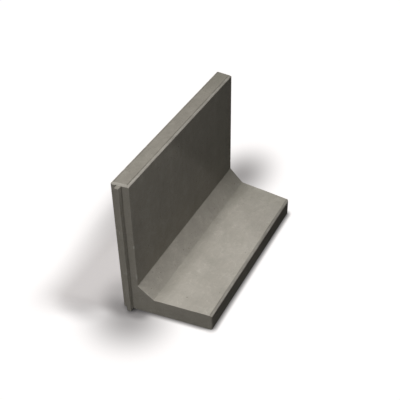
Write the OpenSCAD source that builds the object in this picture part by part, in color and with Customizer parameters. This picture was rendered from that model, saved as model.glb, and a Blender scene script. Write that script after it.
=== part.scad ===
// L-shaped concrete retaining element, cast in one piece: an upright stem on a flat foot,
// with a haunch between them and a joint tongue down one end of the stem.
// X runs along the wall, +Y from the stem's outer face to the toe of the foot, +Z up.

/* [Element] */
// Length of the outer face along the wall, without the tongue
element_length = 1990; // [500:10:3000]
// Height from the underside of the foot to the top of the stem
element_height = 1450; // [600:10:3000]
// Depth from the outer face of the stem to the toe of the foot
element_depth = 870; // [550:10:2000]
// How far each slanting end steps in on its way from the outer face to the toe
end_taper = 90; // [0:5:200]

/* [Stem] */
// Thickness of the stem
stem_thickness = 165; // [120:5:250]

/* [Foot] */
// Thickness of the foot
foot_thickness = 180; // [100:5:300]

/* [Haunch] */
// Reach of the haunch over the foot
haunch_run = 150; // [20:5:200]
// Rise of the haunch up the stem
haunch_rise = 130; // [20:5:200]

/* [Edges] */
// Leg of the chamfers round the top of the stem and along the top of the toe
edge_chamfer = 15; // [4:1:20]
// Leg of the chamfers on the upright corners of the outer face and the toe
corner_chamfer = 10; // [4:1:20]

/* [Tongue] */
// How far the tongue stands out past the end of the outer face
tongue_projection = 35; // [15:1:80]
// Width of the tongue where it leaves the stem
tongue_root_width = 44; // [30:1:60]
// Width of the tongue at its tip
tongue_tip_width = 38; // [15:1:60]
// Distance from the outer face of the stem to the middle of the tongue
tongue_setback = 79; // [45:1:85]

/* [Hidden] */
stem_end = element_length / 2;
toe_end = stem_end - end_taper;
end_slope = end_taper / element_depth;
end_angle = atan(end_slope);
plain_end_reach = stem_end - end_slope * corner_chamfer;
tongue_tip = stem_end + tongue_projection;
tongue_inner = tongue_setback + tongue_root_width / 2;
tongue_root = stem_end - end_slope * tongue_inner - 2 * corner_chamfer;

// Cross-section of the stem, haunch and foot: Y across, Z up, outer face at Y = 0
module section() {
    polygon([
        [0, 0],
        [element_depth, 0],
        [element_depth, foot_thickness - edge_chamfer],
        [element_depth - edge_chamfer, foot_thickness],
        [stem_thickness + haunch_run, foot_thickness],
        [stem_thickness, foot_thickness + haunch_rise],
        [stem_thickness, element_height - edge_chamfer],
        [stem_thickness - edge_chamfer, element_height],
        [edge_chamfer, element_height],
        [0, element_height - edge_chamfer]
    ]);
}

// Outline seen from above, drawn in from the outer face to the toe
module plan() {
    polygon([
        [-stem_end + corner_chamfer, 0],
        [stem_end - corner_chamfer, 0],
        [stem_end - end_slope * corner_chamfer, corner_chamfer],
        [toe_end + end_slope * corner_chamfer, element_depth - corner_chamfer],
        [toe_end - corner_chamfer, element_depth],
        [-toe_end + corner_chamfer, element_depth],
        [-toe_end - end_slope * corner_chamfer, element_depth - corner_chamfer],
        [-stem_end + end_slope * corner_chamfer, corner_chamfer]
    ]);
}

// Everything under the chamfer along the top of the end at +X
module under_end_chamfer() {
    translate([stem_end, 0, 0])
        rotate([90, 0, end_angle])
            linear_extrude(4 * element_depth, center = true)
                polygon([
                    [-2 * element_length, -edge_chamfer],
                    [element_height, -edge_chamfer],
                    [-2 * edge_chamfer, element_height + edge_chamfer],
                    [-2 * element_length, element_height + edge_chamfer]
                ]);
}

// Joint tongue seen from above, its root sunk into the end of the stem
module tongue_plan() {
    polygon([
        [tongue_root, tongue_setback - tongue_root_width / 2],
        [tongue_tip, tongue_setback - tongue_tip_width / 2],
        [tongue_tip, tongue_setback + tongue_tip_width / 2],
        [tongue_root, tongue_inner]
    ]);
}

// The whole casting, with the middle of its footprint, tongue included, over the origin
module retaining_element() {
    color("darkgray")
        translate([(plain_end_reach - tongue_tip) / 2, -element_depth / 2, 0]) {
            intersection() {
                rotate([90, 0, 90])
                    linear_extrude(2 * element_length, center = true)
                        section();
                translate([0, 0, -edge_chamfer])
                    linear_extrude(element_height + 2 * edge_chamfer)
                        plan();
                under_end_chamfer();
                mirror([1, 0, 0])
                    under_end_chamfer();
            }
            linear_extrude(element_height - edge_chamfer)
                tongue_plan();
        }
}

retaining_element();
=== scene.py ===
import bpy
import bmesh
import math
import random
from mathutils import Matrix, Vector, noise
from mathutils.geometry import delaunay_2d_cdt


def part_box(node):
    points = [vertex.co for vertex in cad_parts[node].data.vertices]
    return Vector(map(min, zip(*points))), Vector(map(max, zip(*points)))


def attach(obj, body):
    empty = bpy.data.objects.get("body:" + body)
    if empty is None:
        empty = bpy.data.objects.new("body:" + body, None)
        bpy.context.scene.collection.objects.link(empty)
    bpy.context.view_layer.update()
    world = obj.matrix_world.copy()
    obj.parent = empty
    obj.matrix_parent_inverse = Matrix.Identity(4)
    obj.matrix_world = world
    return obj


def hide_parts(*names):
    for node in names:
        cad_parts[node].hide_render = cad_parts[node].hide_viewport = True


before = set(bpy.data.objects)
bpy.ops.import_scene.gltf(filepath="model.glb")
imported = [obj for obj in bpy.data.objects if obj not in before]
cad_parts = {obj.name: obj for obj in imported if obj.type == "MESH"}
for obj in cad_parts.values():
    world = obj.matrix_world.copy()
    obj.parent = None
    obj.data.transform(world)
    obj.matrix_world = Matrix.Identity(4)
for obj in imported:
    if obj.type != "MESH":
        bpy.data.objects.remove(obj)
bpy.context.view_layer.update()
low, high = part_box("retaining_element")
middle = (low + high) / 2
size = high - low
print("frame loaded, box", [round(side, 3) for side in size])

# where the camera stands, in degrees and metres
view = {
    "azimuth": 117.71,  # 90 looks along -X
    "elevation": 39.3,
    "roll": -1.21,
    "distance": 7.385,
    "lens": 69.6,  # in millimetres, as the next one
    "sensor": 36,
    "aim": (-0.0355, -0.1427, -0.1026),  # from the middle of the element
}


def placeCamera(spec):
    azimuth = math.radians(spec["azimuth"])
    elevation = math.radians(spec["elevation"])
    roll = math.radians(spec["roll"])
    back = Vector((
        math.sin(azimuth) * math.cos(elevation),
        -math.cos(azimuth) * math.cos(elevation),
        math.sin(elevation),
    ))
    level = Vector((0, 0, 1)).cross(back).normalized()
    upright = back.cross(level)
    right = level * math.cos(roll) + upright * math.sin(roll)
    up = upright * math.cos(roll) - level * math.sin(roll)
    data = bpy.data.cameras.new("camera")
    data.lens = spec["lens"]
    data.sensor_width = spec["sensor"]
    camera = bpy.data.objects.new("camera", data)
    bpy.context.scene.collection.objects.link(camera)
    turn = Matrix((right, up, back)).transposed().to_4x4()
    stand = middle + Vector(spec["aim"]) + back * spec["distance"]
    camera.matrix_world = Matrix.Translation(stand) @ turn
    bpy.context.scene.camera = camera


placeCamera(view)
print("camera placed")


class Wire:
    # a shader socket that can be used in sums
    def __init__(self, graph, socket):
        self.graph = graph
        self.socket = socket

    def join(self, operation, first, second):
        return self.graph.add("ShaderNodeMath", {"operation": operation}, {0: first, 1: second})

    def __add__(self, other):
        return self.join("ADD", self, other)

    def __radd__(self, other):
        return self.join("ADD", other, self)

    def __sub__(self, other):
        return self.join("SUBTRACT", self, other)

    def __rsub__(self, other):
        return self.join("SUBTRACT", other, self)

    def __mul__(self, other):
        return self.join("MULTIPLY", self, other)

    def __rmul__(self, other):
        return self.join("MULTIPLY", other, self)


class Graph:
    # the nodes of one material, or of the world
    def __init__(self, owner):
        owner.use_nodes = True
        self.tree = owner.node_tree
        self.tree.nodes.clear()

    def add(self, kind, settings=None, inputs=None, output=0):
        node = self.tree.nodes.new(kind)
        for name, value in (settings or {}).items():
            setattr(node, name, value)
        for name, value in (inputs or {}).items():
            if isinstance(value, Wire):
                self.tree.links.new(value.socket, node.inputs[name])
            else:
                node.inputs[name].default_value = value
        return Wire(self, node.outputs[output]) if node.outputs else node

    def cloud(self, where, scale, detail, rough, warp):
        return self.add("ShaderNodeTexNoise", None, {
            "Vector": where, "Scale": scale, "Detail": detail, "Roughness": rough, "Distortion": warp
        })

    def stretch(self, where, turn, scale):
        return self.add("ShaderNodeMapping", None, {"Vector": where, "Rotation": turn, "Scale": scale})

    def mask(self, value, start, end):
        # 0 up to start, 1 from end on; end may be the lower of the two
        settings = {"interpolation_type": "SMOOTHSTEP"}
        return self.add("ShaderNodeMapRange", settings, {0: value, 1: start, 2: end})

    def blend(self, factor, first, second, mode="MIX"):
        settings = {"data_type": "RGBA", "blend_type": mode}
        return self.add("ShaderNodeMix", settings, {0: factor, 6: first, 7: second}, output=2)


def tone(value):
    if isinstance(value, (int, float)):
        value = (value, value, value)
    return tuple(value) + (1,)


casting = {
    "edgeStep": 0.014,  # spacing of points along the edges
    "outerRows": (0.0012, 0.003, 0.0065, 0.013),  # rows of points beside an outer edge
    "innerRows": (0.003, 0.005, 0.008),  # rows beside an inner corner
    "panelStep": 0.034,  # spacing of points over the flats
    "panelClear": (0.3, 0.2),  # steps from there to the rows beside a side, and to an air hole
    "edgeRound": 0.0022,  # how far an ordinary edge is rounded back
    "chipReach": 0.0085,  # how far the worst chips reach from the edge
    "chipFrom": 0.46,  # a higher value leaves fewer chips
    "chipDrift": 0.12,  # how much likelier chips are where an edge is well worn
    "chipSlope": 5.0,  # how suddenly a chip starts
    "evenRound": 0.75,  # the share of edgeRound that edges have on average
    "unevenRound": 0.35,  # how much it varies, slowly and quickly
    "rowPush": (1.1, 0.15),  # keeps the rows clear of the rounding: share of its crest, of the distance
    "rimShare": 0.6,  # how much of its face's rounding a point on an edge takes
    "cornerShare": 0.8,  # a corner's moves are added up and divided by its sides times this
    "wearWidth": 1.4,  # how wide the pale line along a worn edge is, as a share of its rounding
    "darkLineDepth": 0.5,  # how dark the line beside a long chamfer or along the tongue's root is; at the root it is painted shade
    "darkLineEven": 0.85,  # share of it that is there on average
    "darkLineReach": 0.0066,  # its width
    "chamferHighlight": 0.8,  # painted highlight on the chamfers: how much paler they are, from 0 to 1
    "haunchFloated": 0.66,  # how much the haunch has of the floated top's finish
    "haunchFillet": 0.006,  # how far the corners above and below the haunch are filled
    "tongueFillet": 0.0025,  # the same at the root of the tongue
    "nookReach": 0.12,  # how far the painted shade beside the haunch spreads over the foot
    "bumpiness": 0.0005,  # unevenness of the faces cast against the mould
    "trowelling": 0.0016,  # unevenness of the floated top of the foot
    "calmEdge": 0.06,  # the trowelling fades over this width towards the toe
    "calmest": 0.2,  # and this share of it is left there
    "airHoles": {
        "number": {"cast": 42, "floated": 26, "haunch": 85, "chamfer": 0},  # on each square metre
        "radius": (0.0018, 0.0052),  # smallest and largest
        "smallness": 2.2,  # a higher value makes more of them small
        "oval": (0.7, 1),  # width as a share of length
        "rings": ((1.6, 0, 8), (1.0, 0.12, 9), (0.62, 0.75, 6)),  # share of the radius, depth, points
        "ragged": (0.93, 1.07),  # how far a ring's points stray
        "depth": (0.9, 0.95),  # of the rings and of the middle, in radii
        "fromSide": 2.5,  # radii to the rows beside the nearest side
        "apart": 2,  # radii to the next hole
    },
    "waves": {  # how tight each kind of unevenness is, where its pattern starts, and its strength
        "slowWear": (3.1, (4, 1, 7), 1),
        "quickWear": (19.0, (2, 9, 3), 1),
        "chips": (11.0, (8, 2, 5), 1),
        "rounding": (90, (0, 0, 0), 0.25),
        "soil": (8, (0, 0, 0), 0.6),
        "chamferHighlightPatches": (14, (0, 0, 0), 0.5),
        "broad": (2.6, (0, 0, 0), 1),
        "fine": (9.0, (3, 3, 3), 0.5),
        "strokes": (5.0, (7, 1, 2), 1),
        "ridges": (17.0, (0, 0, 0), 0.6),
    },
    "seed": 11,
}
markNames = ("hole", "wear", "floated", "nook", "soil")  # what the concrete reads at each point
flatWithin = math.radians(0.5)  # triangles that turn less than this are one flat face
faintBend = math.radians(12)  # an edge that turns less than this stays as it is
chamferBend = math.radians(60)  # an outer edge that turns less than this borders a chamfer
edgeBand = 0.03  # nothing further from an edge than this is rounded
samePlace = 1e-5  # points this close are one, and a point this close to an edge lies on it
placeGrain = 1e5  # places are told apart to a metre divided by this
levelFrom = 0.99  # a face whose normal rises this much is level
slopes = (0.6, 0.9)  # and between these it slopes, as the haunch and the chamfers do
haunchArea = 0.1  # a sloping face larger than this is the haunch
nearlyNone = 0.1  # a part of a normal smaller than this doesn't count
rowStarts = (0.02, 0.5)  # where even and odd rows start, as a share of a step
rowInside = 0.98  # a row's points keep this share of its distance from every other side
pastDarkLine = 0.002  # one more row lies this far past the dark line
triangleRise = 0.866  # height of an even triangle, as a share of its side
gridStray = 0.2  # how far a point of the grid strays, as a share of a step


def cleanShell(node):
    # the node's triangles joined back into its flat faces
    shell = bmesh.new()
    shell.from_mesh(node.data)
    bmesh.ops.remove_doubles(shell, verts=shell.verts, dist=samePlace)
    bmesh.ops.dissolve_limit(shell, angle_limit=flatWithin, verts=shell.verts, edges=shell.edges)
    shell.normal_update()
    return shell


def spread(start, end, step):
    # points from one end of an edge to the other, the same from either side
    first, second = sorted((start, end), key=lambda point: tuple(round(c, 5) for c in point))
    count = max(2, round((second - first).length / step))
    points = [first.lerp(second, i / count) for i in range(count + 1)]
    return points if first is start else points[::-1]


def nearestOn(point, start, end):
    along = end - start
    share = max(0.0, min(1.0, (point - start).dot(along) / along.length_squared))
    return start + along * share


class Flat:
    # one flat face of the shell, with its own two directions
    def __init__(self, face, spec):
        corners = [loop.vert.co.copy() for loop in face.loops]
        self.normal = face.normal.copy()
        self.origin = corners[0]
        self.across = (corners[1] - corners[0]).normalized()
        self.upward = self.normal.cross(self.across)
        self.outline = [self.flatten(corner) for corner in corners]
        self.kind = self.finish(face.calc_area())
        self.sides = [self.describe(loop, face, spec) for loop in face.loops]

    def finish(self, area):
        if self.normal.z > levelFrom and self.origin.z < low.z + size.z / 2:
            return "floated"
        if slopes[0] < self.normal.z < slopes[1]:
            return "haunch" if area > haunchArea else "chamfer"
        return "cast"

    def describe(self, loop, face, spec):
        other = [f for f in loop.edge.link_faces if f is not face][0]
        bend = loop.edge.calc_face_angle_signed()
        upright = abs(face.normal.z) < nearlyNone and abs(other.normal.z) < nearlyNone
        lengthwise = abs(face.normal.x + other.normal.x) < nearlyNone
        return {
            "start": loop.vert.co.copy(),
            "end": loop.link_loop_next.vert.co.copy(),
            "bend": bend,
            "key": tuple(sorted(v.index for v in loop.edge.verts)),
            "lean": (face.normal + other.normal).normalized(),
            "fillet": spec["tongueFillet"] if upright else spec["haunchFillet"],
            "tongueRoot": upright and bend < 0,
            "longChamfer": 0 < bend < chamferBend and lengthwise,
        }

    def flatten(self, point):
        offset = point - self.origin
        return Vector((offset.dot(self.across), offset.dot(self.upward)))

    def lift(self, spot):
        return self.origin + self.across * spot.x + self.upward * spot.y

    def pairs(self):
        return list(zip(self.outline, self.outline[1:] + self.outline[:1]))

    def area(self):
        return abs(sum(a.cross(b) for a, b in self.pairs())) / 2

    def extent(self):
        xs = [spot.x for spot in self.outline]
        ys = [spot.y for spot in self.outline]
        return min(xs), max(xs), min(ys), max(ys)

    def margin(self, spot):
        # distance to the nearest side
        return min((spot - nearestOn(spot, a, b)).length for a, b in self.pairs())

    def holds(self, spot):
        inside = False
        for a, b in self.pairs():
            if (a.y > spot.y) != (b.y > spot.y):
                if spot.x < (b.x - a.x) * (spot.y - a.y) / (b.y - a.y) + a.x:
                    inside = not inside
        return inside


def rowsBeside(side, spec):
    # how far from this side its rows of points lie
    if abs(side["bend"]) < faintBend:
        return ()
    if side["bend"] > 0:
        return spec["outerRows"]
    rows = [row * side["fillet"] / spec["haunchFillet"] for row in spec["innerRows"]]
    return rows + [spec["darkLineReach"] + pastDarkLine] if side["tongueRoot"] else rows


def layRows(flat, spec):
    # rows of points beside the sides, every other row half a step further on
    spots = []
    for side, (a, b) in zip(flat.sides, flat.pairs()):
        along = (b - a).normalized()
        inward = Vector((-along.y, along.x))
        steps = max(2, round((b - a).length / spec["edgeStep"]))
        for row, reach in enumerate(rowsBeside(side, spec)):
            for i in range(steps):
                spot = a.lerp(b, (i + rowStarts[row % 2]) / steps) + inward * reach
                if flat.holds(spot) and flat.margin(spot) > reach * rowInside:
                    spots.append(spot)
    return spots


def layHoles(flat, spec, dice):
    # points of the air holes, the depth of each point, and where the holes are and how wide
    holes = spec["airHoles"]
    spots = []
    depths = []
    rims = []
    left, right, bottom, top = flat.extent()
    smallest, largest = holes["radius"]
    ringDepth, middleDepth = holes["depth"]
    for _ in range(int(flat.area() * holes["number"][flat.kind])):
        spot = Vector((dice.uniform(left, right), dice.uniform(bottom, top)))
        radius = smallest + (largest - smallest) * dice.random() ** holes["smallness"]
        turn = dice.uniform(0, math.tau)
        width = dice.uniform(*holes["oval"])
        if not flat.holds(spot) or flat.margin(spot) < max(spec["outerRows"]) + radius * holes["fromSide"]:
            continue
        if any((spot - other).length < (radius + reach) * holes["apart"] for other, reach in rims):
            continue
        rims.append((spot, radius))
        for share, drop, corners in holes["rings"]:
            for i in range(corners):
                angle = turn + math.tau * i / corners
                arm = Vector((math.cos(angle), math.sin(angle) * width)) * radius * share
                depths.append(drop * radius * ringDepth)
                spots.append(spot + arm * dice.uniform(*holes["ragged"]))
        depths.append(radius * middleDepth)
        spots.append(spot)
    return spots, depths, rims


def layGrid(flat, spec, dice, rims):
    # an uneven grid of triangles over the rest of the face, clear of its sides and air holes
    spots = []
    step = spec["panelStep"]
    fromRows, fromHoles = spec["panelClear"]
    outermost = spec["airHoles"]["rings"][0][0]
    left, right, bottom, top = flat.extent()
    for row in range(int((top - bottom) / (step * triangleRise)) + 2):
        for column in range(int((right - left) / step) + 2):
            indent = 0.5 if row % 2 else 0
            spot = Vector((
                left + (column + indent) * step + dice.uniform(-gridStray, gridStray) * step,
                bottom + row * step * triangleRise + dice.uniform(-gridStray, gridStray) * step,
            ))
            if not flat.holds(spot) or flat.margin(spot) < max(spec["outerRows"]) + step * fromRows:
                continue
            if any((spot - hole).length < radius * outermost + step * fromHoles for hole, radius in rims):
                continue
            spots.append(spot)
    return spots


def layPoints(flat, spec, dice):
    # all points of one face: those on its outline in space, all of them in the face, and the depths
    solid = []
    for side in flat.sides:
        solid += spread(side["start"], side["end"], spec["edgeStep"])[:-1]
    spots = [flat.flatten(point) for point in solid] + layRows(flat, spec)
    holeSpots, holeDepths, rims = layHoles(flat, spec, dice)
    depths = {len(spots) + i: depth for i, depth in enumerate(holeDepths)}
    return solid, spots + holeSpots + layGrid(flat, spec, dice, rims), depths


def wave(name, place, spec):
    scale, start, strength = spec["waves"][name]
    return strength * noise.noise(place * scale + Vector(start))


def edgeWear(place, spec):
    # how far an outer edge is worn back at this place: mostly little, here and there a chip
    slow = wave("slowWear", place, spec)
    quick = wave("quickWear", place, spec)
    likely = wave("chips", place, spec) - spec["chipFrom"] + spec["chipDrift"] * slow
    chip = max(0.0, likely) * spec["chipSlope"]
    uneven = spec["unevenRound"]
    reach = spec["edgeRound"] * (spec["evenRound"] + uneven * slow + uneven * quick)
    return min(spec["chipReach"], reach + chip * spec["chipReach"])


def sinkBeside(distance, reach, bend):
    # drop of a rounded edge at this distance from the sharp one
    if distance >= reach:
        return 0.0
    radius = reach / math.tan(abs(bend) / 2)
    return radius - math.sqrt(max(0.0, radius ** 2 - (reach - distance) ** 2))


def crestOf(reach, bend):
    # distance from the sharp edge to the middle of the rounding, where the two faces meet
    return reach * (1 - math.cos(abs(bend) / 2))


class Skin:
    # the points of the casting, how far each is moved, and what each is marked with
    def __init__(self, spec):
        self.spec = spec
        self.indexAt = {}
        self.places = []
        self.shift = []
        self.marks = []
        self.triangles = []

    def pointAt(self, place):
        key = tuple(round(c * placeGrain) for c in place)
        if key not in self.indexAt:
            self.indexAt[key] = len(self.places)
            self.places.append(place.copy())
            self.shift.append(Vector())
            self.marks.append({**dict.fromkeys(markNames, 0.0), "sides": set()})
        return self.indexAt[key]

    def cover(self, flat, dice):
        # joins the points of one face by triangles and shapes each of them
        solid, spots, depths = layPoints(flat, self.spec, dice)
        count = len(solid)
        ring = [(i, (i + 1) % count) for i in range(count)]
        # 1 keeps only the triangles inside the outline
        joined = delaunay_2d_cdt(spots, ring, [list(range(count))], 1, 1e-7)
        spots, _, triangles, sources = joined[:4]
        indices = []
        for spot, source in zip(spots, sources):
            first = min(source) if source else -1
            onRim = 0 <= first < count
            place = solid[first] if onRim else flat.lift(spot)
            index = self.pointAt(place)
            indices.append(index)
            sink = self.roundOff(index, place, flat)
            self.shift[index] += flat.normal * sink * (self.spec["rimShare"] if onRim else 1.0)
            self.markFinish(self.marks[index], place, flat)
            if first in depths:
                self.shift[index] -= flat.normal * depths[first]
                self.marks[index]["hole"] = min(1.0, depths[first] / self.spec["airHoles"]["radius"][0])
        for corners in triangles:
            self.triangles.append([indices[i] for i in corners])

    def roundOff(self, index, place, flat):
        # moves a point by the rounding of the sides near it, and gives how far it sinks or rises
        mark = self.marks[index]
        crestPush, rowPush = self.spec["rowPush"]
        sink = 0.0
        for side in flat.sides:
            if abs(side["bend"]) < faintBend:
                continue
            foot = nearestOn(place, side["start"], side["end"])
            distance = (place - foot).length
            isOuter = side["bend"] > 0
            # painted shade on the foot, fading away from the inner corner beside the haunch
            if flat.kind == "floated" and not isOuter:
                mark["nook"] = max(mark["nook"], 1 - distance / self.spec["nookReach"])
            if distance > edgeBand:
                continue
            reach = edgeWear(foot, self.spec) if isOuter else side["fillet"]
            sign = -1 if isOuter else 1
            if distance >= samePlace:
                crest = crestOf(reach, side["bend"])
                moved = max(distance, crestPush * crest + rowPush * distance)
                self.shift[index] += (place - foot).normalized() * (moved - distance)
                rough = max(crest, moved * (1 + wave("rounding", place, self.spec)))
                drop = sinkBeside(rough, reach, side["bend"]) * sign
                sink = drop if abs(drop) > abs(sink) else sink
            elif side["key"] not in mark["sides"]:
                mark["sides"].add(side["key"])
                radius = reach / math.tan(abs(side["bend"]) / 2)
                drop = radius / math.cos(side["bend"] / 2) - radius
                self.shift[index] += side["lean"] * drop * sign
            self.markEdge(mark, flat, side, foot, distance, reach)
        return sink

    def markEdge(self, mark, flat, side, foot, distance, reach):
        # a dark line beside the long chamfers, painted shade at the tongue's root, and wear along the
        # outer edges
        byChamfer = flat.normal.z > levelFrom and side["longChamfer"]
        if distance < self.spec["darkLineReach"] and (byChamfer or side["tongueRoot"]):
            patchy = self.spec["darkLineEven"] + wave("soil", foot, self.spec)
            mark["soil"] = max(mark["soil"], self.spec["darkLineDepth"] * patchy)
        if side["bend"] > 0 and distance < reach * self.spec["wearWidth"]:
            mark["wear"] = max(mark["wear"], min(1.0, reach / self.spec["chipReach"]))

    def markFinish(self, mark, place, flat):
        # the chamfers are painted paler, a patchy painted highlight
        if flat.kind == "chamfer":
            chamferHighlightPatches = self.spec["chamferHighlight"] + wave("chamferHighlightPatches", place, self.spec)
            mark["wear"] = max(mark["wear"], chamferHighlightPatches)
        elif flat.kind == "floated":
            mark["floated"] = 1.0
        elif flat.kind == "haunch":
            mark["floated"] = max(self.spec["haunchFloated"], mark["floated"])

    def settled(self, index, normal):
        # where a point ends up
        place = self.places[index]
        mark = self.marks[index]
        if mark["floated"] == 1:
            ripple = wave("strokes", place, self.spec) + wave("ridges", place, self.spec)
            calm = min(1.0, (high.y - place.y) / self.spec["calmEdge"] + self.spec["calmest"])
            relief = self.spec["trowelling"] * ripple * calm
        else:
            ripple = wave("broad", place, self.spec) + wave("fine", place, self.spec)
            relief = self.spec["bumpiness"] * ripple
        shared = max(1, len(mark["sides"]) * self.spec["cornerShare"])
        return place + self.shift[index] / shared + normal * relief


def buildCasting(spec):
    dice = random.Random(spec["seed"])
    shell = cleanShell(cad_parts["retaining_element"])
    flats = [Flat(face, spec) for face in shell.faces]
    shell.free()
    print("flat faces:", len(flats))
    skin = Skin(spec)
    for flat in flats:
        skin.cover(flat, dice)
    mesh = bpy.data.meshes.new("retainingElementCast")
    mesh.from_pydata([tuple(place) for place in skin.places], [], skin.triangles)
    mesh.validate()
    normals = [vert.normal.copy() for vert in mesh.vertices]
    for name in markNames:
        layer = mesh.attributes.new(name, "FLOAT", "POINT")
        layer.data.foreach_set("value", [mark[name] for mark in skin.marks])
    for index, normal in enumerate(normals):
        mesh.vertices[index].co = skin.settled(index, normal)
    mesh.shade_smooth()
    mesh.update()
    print("casting:", len(mesh.vertices), "points,", len(mesh.polygons), "triangles")
    return mesh


concrete = {
    "floatedTop": (0.46, 0.43, 0.376),  # top of the foot, drawn off with a float
    "castSkin": (0.27, 0.251, 0.215),  # faces that met the mould
    "bloom": (0.47, 0.45, 0.40),  # lime bloom
    "scuffedAndHighlight": (0.58, 0.55, 0.49),  # rubbed edges, the painted highlight on the chamfers, and fine pale veins
    "dampAndShade": (0.215, 0.208, 0.165),
    "poreAndShade": (0.075, 0.069, 0.056),
    "patterns": {  # scale, detail, roughness and warp of each
        "clouds": (2.6, 3.0, 0.5, 0.6),
        "blotches": (9.0, 5.0, 0.6, 0.8),
        "mottle": (42.0, 4.0, 0.6, 0.0),
        "sand": (430.0, 2.0, 0.7, 0.0),
        "pores": (150.0, 1.0, 0.5, 0.0),
        "runs": (1.0, 3.0, 0.6, 0.0),
        "strokes": (1.0, 3.0, 0.55, 1.6),
        "veins": (6.5, 3.0, 0.5, 1.4),
        "patches": (5.0, 4.0, 0.6, 1.0),
    },
    "limits": {  # where each finish starts in its pattern, and where it is full
        "bloom": (0.55, 0.72),
        "veins": (0.001, 0),
        "veined": (0.42, 0.58),  # the places that have veins
        "patches": (0.5, 0.56),
        "cloudDamp": (0.46, 0.30),
        "darkPores": (0.68, 0.74),
        "limePores": (0.33, 0.27),
    },
    "runStretch": (17, 17, 0.9),  # water runs down the moulded faces
    "strokeStretch": (4.5, 26, 8),  # strokes of the float, along the foot
    "strokeTurn": 0.6,  # in radians
    "bloomShare": (0.06, 0.1),  # how strong on the moulded faces, and how much more on the floated top
    "veinShare": (0.05, 0.3),
    "patchShare": (0.03, 0.12),
    "clouding": 0.22,  # how much each pattern changes the shade
    "blotching": 0.14,
    "mottling": 0.16,
    "graining": 0.24,
    "streaking": 0.16,
    "cloudDamp": 0.12,  # damp in the darkest clouds
    "farEndShade": 0.27,  # painted shade at the far end of the wall
    "farShadeFrom": -0.35,  # where along the wall that painted shade starts
    "nookShade": 0.24,  # painted shade on the foot beside the haunch
    "darkPoring": 0.45,  # how dark the open pores are
    "limePoring": 0.25,  # how pale those full of lime are
    # painted shade in the air holes
    "holeShade": 0.8,
    "wearAndHighlightPaleness": (0.35, 0.5),  # how pale worn places and the painted chamfer highlight are, and how much more with the mottle
    "roughness": 0.88,
    "roughMottle": 0.16,  # how much the mottle changes it
    "specular": 0.1,
    "bump": {"Strength": 0.3, "Distance": 0.003},
    "heights": {"mottle": 0.35, "sand": 0.3, "blotches": 0.25, "strokes": 0.4, "pores": 0.5},  # pores sink
}


def mixConcrete(spec):
    material = bpy.data.materials.new("castConcrete")
    graph = Graph(material)
    where = graph.add("ShaderNodeTexCoord", output=3)
    along = graph.add("ShaderNodeSeparateXYZ", None, {0: where}, output="X")
    hole, wear, floated, nook, soil = [
        graph.add("ShaderNodeAttribute", {"attribute_name": name}, output="Fac")
        for name in markNames
    ]

    def pattern(name, place=where):
        return graph.cloud(place, *spec["patterns"][name])

    def share(name):
        cast, more = spec[name]
        return cast + more * floated

    def limited(name, value):
        return graph.mask(value, *spec["limits"][name])

    clouds, blotches, mottle, sand, pores = [
        pattern(name) for name in ("clouds", "blotches", "mottle", "sand", "pores")
    ]
    runs = pattern("runs", graph.stretch(where, (0, 0, 0), spec["runStretch"]))
    strokes = pattern("strokes", graph.stretch(where, (0, 0, spec["strokeTurn"]), spec["strokeStretch"]))
    streaks = runs + floated * (strokes - runs)

    # bloom, pale veins and patches, then damp, with painted shade at the far end and beside the haunch
    colour = graph.blend(floated, tone(spec["castSkin"]), tone(spec["floatedTop"]))
    bloomed = limited("bloom", blotches) * share("bloomShare")
    colour = graph.blend(bloomed, colour, tone(spec["bloom"]))
    offVein = pattern("veins") - 0.5
    veins = limited("veins", offVein * offVein) * limited("veined", blotches)
    colour = graph.blend(veins * share("veinShare"), colour, tone(spec["scuffedAndHighlight"]))
    patches = limited("patches", pattern("patches"))
    colour = graph.blend(patches * share("patchShare"), colour, tone(spec["scuffedAndHighlight"]))
    inClouds = spec["cloudDamp"] * limited("cloudDamp", clouds)
    # painted shade, darker towards the far end of the wall
    farShade = spec["farEndShade"] * graph.mask(along, spec["farShadeFrom"], low.x)
    # painted shade on the foot beside the haunch
    inNook = (spec["nookShade"] * floated) * nook * (0.5 + mottle)
    colour = graph.blend(inClouds + farShade + inNook, colour, tone(spec["dampAndShade"]))

    # unevenness of the shade, then pores, worn edges with the painted highlight on the chamfers, painted
    # shade in the air holes, and the dark line, which is painted shade at the tongue's root
    shade = 1.0 + spec["clouding"] * (clouds - 0.5) + spec["blotching"] * (blotches - 0.5)
    shade = shade + spec["mottling"] * (mottle - 0.5) + spec["graining"] * (sand - 0.5)
    shade = shade + spec["streaking"] * (streaks - 0.5)
    colour = graph.blend(1.0, colour, shade, "MULTIPLY")
    darkPores = limited("darkPores", pores)
    colour = graph.blend(darkPores * spec["darkPoring"], colour, tone(spec["poreAndShade"]))
    colour = graph.blend(limited("limePores", pores) * spec["limePoring"], colour, tone(spec["bloom"]))
    # paler along worn edges, and a painted highlight on the chamfers
    pale, more = spec["wearAndHighlightPaleness"]
    colour = graph.blend(wear * (pale + more * mottle), colour, tone(spec["scuffedAndHighlight"]))
    # painted shade in the air holes
    colour = graph.blend(hole * spec["holeShade"], colour, tone(spec["poreAndShade"]))
    # the dark line beside the chamfers, and painted shade at the tongue's root
    colour = graph.blend(soil, colour, tone(spec["poreAndShade"]))

    heights = spec["heights"]
    height = heights["mottle"] * mottle + heights["sand"] * sand + heights["blotches"] * blotches
    height = height + (heights["strokes"] * floated) * strokes - heights["pores"] * darkPores
    bump = graph.add("ShaderNodeBump", None, {**spec["bump"], "Height": height})
    shader = graph.add("ShaderNodeBsdfPrincipled", None, {
        "Base Color": colour,
        "Roughness": spec["roughness"] + spec["roughMottle"] * (mottle - 0.5),
        "Specular IOR Level": spec["specular"],
        "Normal": bump,
    })
    graph.add("ShaderNodeOutputMaterial", None, {"Surface": shader})
    return material


element = bpy.data.objects.new("retainingElement", buildCasting(casting))
bpy.context.scene.collection.objects.link(element)
element.data.materials.append(mixConcrete(concrete))
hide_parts("retaining_element")
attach(element, "root")
print("element cast")

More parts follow.
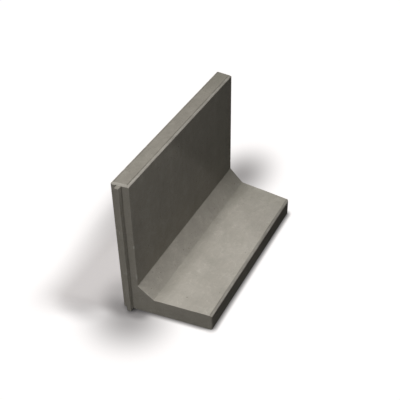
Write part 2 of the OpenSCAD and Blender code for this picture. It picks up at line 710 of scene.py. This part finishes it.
floorPaper = {
    "side": 60,
    "gap": 0.0005,  # how far under the element it lies
    "shade": 0.57,  # how much of the paper sun's light it gives back to the camera
    "glow": (0.612, 0.585, 0.578),  # what the camera sees where that sun is hidden
    "bounce": 0.06,  # what it gives back to the element
    "contactReach": 0.052,  # width of the painted contact shade where the element meets the paper
    "contactDepth": 1.6,  # a higher value makes it darker
    "contactSamples": 32,
    "contactLean": (0, -0.5, 0.87),  # leans back, so that the line is darkest along the toe
    "pools": {  # painted soft shadow on the paper round the ends and behind the wall: middle, reach, strength
        "tongueEnd": ((1.10, -0.30), (0.56, 0.59), 1.0),
        "plainEnd": ((-1.29, -0.28), (0.77, 0.51), 1.07),
        "tongueFoot": ((1.00, -0.46), (0.17, 0.26), 0.45),
        "endFoot": ((0.98, -0.26), (0.13, 0.17), 0.5),
        "outerFoot": ((0.80, -0.58), (0.30, 0.24), 0.45),
        "longShade": ((1.20, -0.80), (0.20, 0.30), 0.5),
        "wallShade": ((-0.60, -1.17), (1.62, 0.39), 0.68),
    },
    "poolDepth": {"glow": 0.45, "sun": 0.85},  # how much of each a pool of strength 1 takes away
}


def seenRays(graph):
    # 1 for what the camera sees, straight, in a reflection or through glass
    straight, mirrored, through = [
        graph.add("ShaderNodeLightPath", output=name)
        for name in ("Is Camera Ray", "Is Glossy Ray", "Is Transmission Ray")
    ]
    return graph.mask(straight + mirrored + through, 0, 1)


def layFloor(spec):
    half = spec["side"] / 2
    corners = [(-half, -half, 0), (half, -half, 0), (half, half, 0), (-half, half, 0)]
    mesh = bpy.data.meshes.new("studioFloor")
    mesh.from_pydata(corners, [], [(0, 1, 2, 3)])
    floor = bpy.data.objects.new("studioFloor", mesh)
    floor.location.z = low.z - spec["gap"]
    bpy.context.scene.collection.objects.link(floor)
    material = bpy.data.materials.new("studioPaper")
    graph = Graph(material)
    where = graph.add("ShaderNodeTexCoord", output=3)
    lean = graph.add("ShaderNodeVectorMath", {"operation": "NORMALIZE"}, {0: spec["contactLean"]})
    openness = graph.add("ShaderNodeAmbientOcclusion", {"samples": spec["contactSamples"]}, {
        "Distance": spec["contactReach"], "Normal": lean
    }, output="AO")
    contact = graph.add("ShaderNodeMath", {"operation": "POWER"}, {0: openness, 1: spec["contactDepth"]})
    pool = 0
    for (x, y), (reachX, reachY), strength in spec["pools"].values():
        offset = graph.add("ShaderNodeMapping", {"vector_type": "TEXTURE"}, {
            "Vector": where, "Location": (x, y, 0), "Scale": (reachX, reachY, 1)
        })
        away = graph.add("ShaderNodeVectorMath", {"operation": "LENGTH"}, {0: offset}, output="Value")
        pool = pool + strength * graph.mask(away, 1, 0)
    sunlit = contact * (1 - spec["poolDepth"]["sun"] * pool)
    glowing = contact * (1 - spec["poolDepth"]["glow"] * pool)
    paper = graph.blend(sunlit, tone(0), tone(spec["shade"]))
    glow = graph.blend(glowing, tone(0), tone(spec["glow"]))
    seen = graph.add("ShaderNodeAddShader", None, {
        0: graph.add("ShaderNodeBsdfDiffuse", None, {"Color": paper}),
        1: graph.add("ShaderNodeEmission", None, {"Color": glow}),
    })
    felt = graph.add("ShaderNodeBsdfDiffuse", None, {"Color": tone(spec["bounce"])})
    shader = graph.add("ShaderNodeMixShader", None, {0: seenRays(graph), 1: felt, 2: seen})
    graph.add("ShaderNodeOutputMaterial", None, {"Surface": shader})
    mesh.materials.append(material)
    return floor


lights = {  # each has its kind, where it hangs, what it points at, and Blender's own settings for it
    "overheadSun": {
        "kind": "SUN", "place": (0.10, -0.12, 1), "aim": (0, 0, 0),
        "settings": {"angle": math.radians(17), "energy": 1.26},
    },
    "backSun": {
        "kind": "SUN", "place": (-0.4, -1, 0.12), "aim": (0, 0, 0),
        "settings": {"angle": math.radians(30), "energy": 1.2},
    },
    "keyLamp": {
        "kind": "AREA", "place": (0.45, 0.5, 5.0), "aim": (0, 0, 0.7),
        "settings": {"shape": "DISK", "size": 1.8, "energy": 72},
    },
    "endLamp": {
        "kind": "AREA", "place": (3.5, 0.42, 0.6), "aim": (0, 0, 0.7),
        "settings": {"shape": "DISK", "size": 1.1, "energy": 18.6},
    },
    "shutteredLamp": {  # its edge falls slantwise over the stem, and the far end stays a little darker
        "kind": "SPOT", "place": (4.93, 2.3, 5.0), "aim": (3.174, -0.912, 0.246),
        "settings": {
            "spot_size": math.radians(60), "spot_blend": 0.02, "shadow_soft_size": 0.05, "energy": 205,
        },
    },
}
paperSun = {
    "kind": "SUN", "place": (-0.27, 0.74, 1.45), "aim": (0, 0, 0),
    "settings": {"angle": math.radians(12), "energy": 2.7},
}
skyLevel = 0.004


def hang(name, spec, litPiece):
    # each light serves one piece: the element, or the paper under it
    data = bpy.data.lights.new(name, spec["kind"])
    for setting, value in spec["settings"].items():
        setattr(data, setting, value)
    light = bpy.data.objects.new(name, data)
    bpy.context.scene.collection.objects.link(light)
    light.location = spec["place"]
    light.rotation_euler = (light.location - Vector(spec["aim"])).to_track_quat("Z", "Y").to_euler()
    served = bpy.data.collections.new(name + "Serves")
    served.objects.link(litPiece)
    light.light_linking.receiver_collection = served


def hangSky(level):
    world = bpy.data.worlds.new("studioSky")
    bpy.context.scene.world = world
    graph = Graph(world)
    sky = graph.add("ShaderNodeMixShader", None, {
        0: seenRays(graph),
        1: graph.add("ShaderNodeBackground", None, {"Color": tone(level)}),
        2: graph.add("ShaderNodeBackground", None, {"Color": tone(1)}),
    })
    graph.add("ShaderNodeOutputWorld", None, {"Surface": sky})


def lightStudio(floor):
    for name, spec in lights.items():
        hang(name, spec, element)
    hang("paperSun", paperSun, floor)
    hangSky(skyLevel)
    bpy.context.scene.view_settings.view_transform = "Standard"


lightStudio(layFloor(floorPaper))
print("studio lit")
